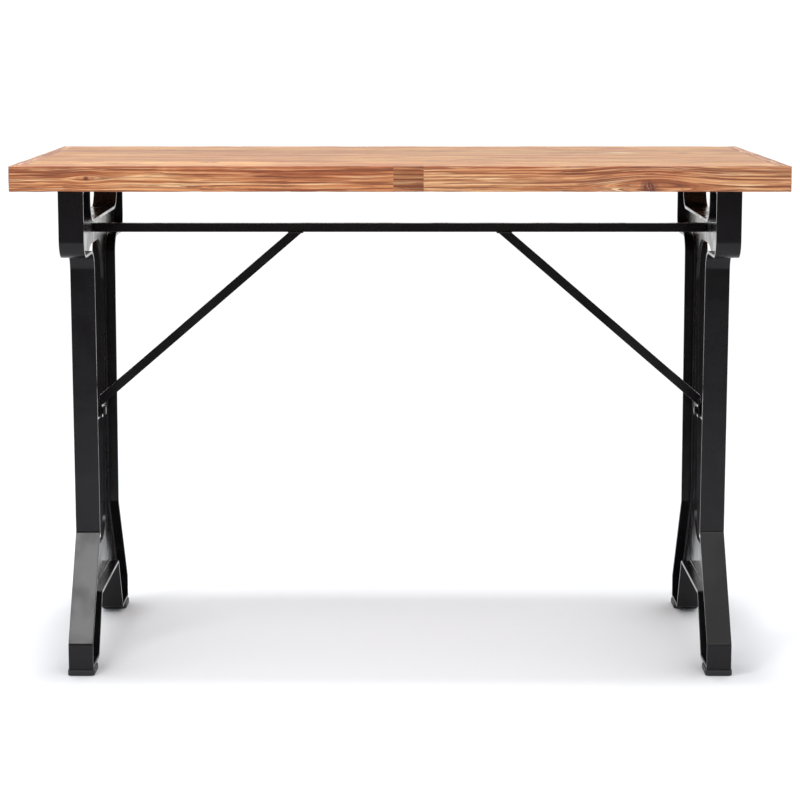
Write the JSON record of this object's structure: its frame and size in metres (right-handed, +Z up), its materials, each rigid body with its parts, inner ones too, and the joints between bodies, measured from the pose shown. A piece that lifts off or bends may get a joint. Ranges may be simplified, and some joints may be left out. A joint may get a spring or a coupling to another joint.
{
  "type": "sewing table",
  "caption": "Long narrow work table with a plank top in a mitred wooden edge, on two splayed black side frames joined by a bar and two diagonal braces.",
  "frame": {"origin": "on the floor, under the middle of the top", "axes": "+X along the table, +Y from its front to its back, +Z up"},
  "size_m": [1.22, 0.65, 0.832],
  "materials": {
    "fir_top": "brushed fir planks, matt oil, fine grain and small knots",
    "fir_edge": "flat-sawn fir, darker orange brown streaks and knots, matt oil",
    "black_paint": "semi-gloss black powder coat",
    "black_plastic": "moulded matt black",
    "black_fastener": "blackened steel, slightly worn on the corners"
  },
  "bodies": {
    "root": {"edge_board_front": "fir_edge", "edge_board_back": "fir_edge", "edge_board_left": "fir_edge", "edge_board_right": "fir_edge", "top_plank_1": "fir_top", "top_plank_2": "fir_top", "top_plank_3": "fir_top", "top_plank_4": "fir_top", "top_plank_5": "fir_top", "batten_left": "fir_edge", "batten_middle": "fir_edge", "batten_right": "fir_edge", "stretcher_bar": "black_paint", "left_web_plate": "black_paint", "left_front_band": "black_paint", "left_rear_band": "black_paint", "left_notch_band": "black_paint", "left_arch_band": "black_paint", "left_front_mount_plate": "black_paint", "left_rear_mount_plate": "black_paint", "left_cross_tie": "black_paint", "left_brace": "black_paint", "left_front_foot_pad": "black_plastic", "left_rear_foot_pad": "black_plastic", "left_stretcher_bolt": "black_fastener", "left_brace_bolt": "black_fastener", "left_brace_nut": "black_fastener", "left_front_inner_wood_screw": "black_fastener", "left_front_outer_wood_screw": "black_fastener", "left_rear_inner_wood_screw": "black_fastener", "left_rear_outer_wood_screw": "black_fastener", "right_web_plate": "black_paint", "right_front_band": "black_paint", "right_rear_band": "black_paint", "right_notch_band": "black_paint", "right_arch_band": "black_paint", "right_front_mount_plate": "black_paint", "right_rear_mount_plate": "black_paint", "right_cross_tie": "black_paint", "right_brace": "black_paint", "right_front_foot_pad": "black_plastic", "right_rear_foot_pad": "black_plastic", "right_stretcher_bolt": "black_fastener", "right_brace_bolt": "black_fastener", "right_brace_nut": "black_fastener", "right_front_inner_wood_screw": "black_fastener", "right_front_outer_wood_screw": "black_fastener", "right_rear_inner_wood_screw": "black_fastener", "right_rear_outer_wood_screw": "black_fastener"}
  },
  "joints": []
}
